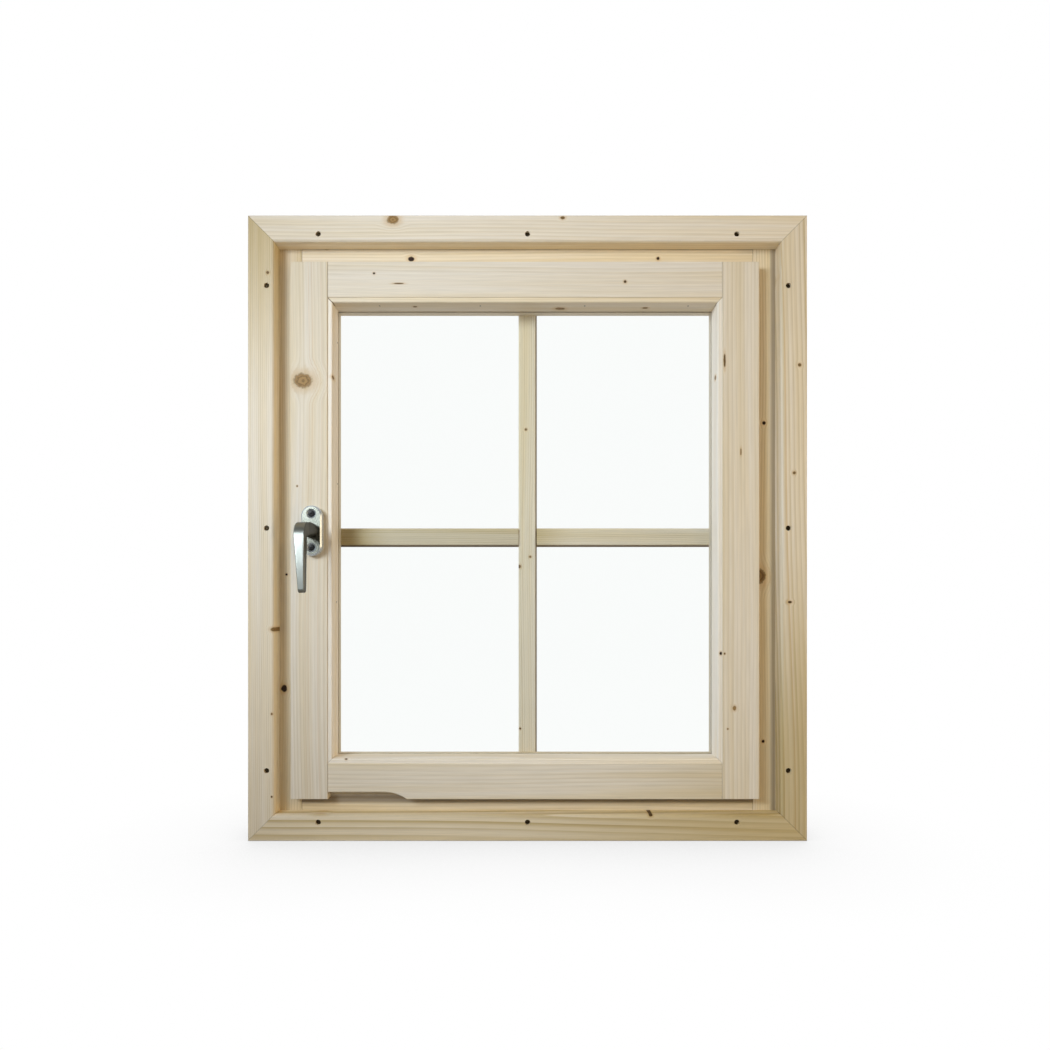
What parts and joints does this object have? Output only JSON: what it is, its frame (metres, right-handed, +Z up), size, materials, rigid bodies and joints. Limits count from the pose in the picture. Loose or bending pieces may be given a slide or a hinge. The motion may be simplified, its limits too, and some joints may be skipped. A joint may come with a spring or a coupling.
{
  "type": "wooden casement window",
  "caption": "Single casement window of planed spruce with a mitred trim, a lay-on sash, a glazing-bar cross and a lever handle on the left stile.",
  "frame": {"origin": "middle of the frame sill's underside, at mid depth of the frame", "axes": "+X to the right as seen from the room, +Y from the room to the open air, +Z up"},
  "size_m": [0.715, 0.122, 0.8],
  "materials": {
    "spruce": "planed, unfinished",
    "glass": "clear float glass",
    "satin_nickel": "satin"
  },
  "bodies": {
    "window": {"trim_head": "spruce", "trim_left": "spruce", "trim_right": "spruce", "trim_sill": "spruce", "frame_head": "spruce", "frame_left_jamb": "spruce", "frame_right_jamb": "spruce", "frame_sill": "spruce", "sash_left_stile": "spruce", "sash_right_stile": "spruce", "sash_top_rail": "spruce", "sash_bottom_rail": "spruce", "glass_pane": "glass", "bead_top": "spruce", "bead_bottom": "spruce", "bead_left": "spruce", "bead_right": "spruce", "muntin_vertical": "spruce", "muntin_left": "spruce", "muntin_right": "spruce", "handle_plate": "satin_nickel"},
    "handle": {"handle_lever": "satin_nickel"}
  },
  "joints": [
    {"name": "handle_turn", "type": "hinge", "parent": "window", "child": "handle", "pos_m": [-0.275, -0.0485, 0.384], "axis": [0, -1, 0], "range_deg": [-2.2, 87.8]}
  ]
}
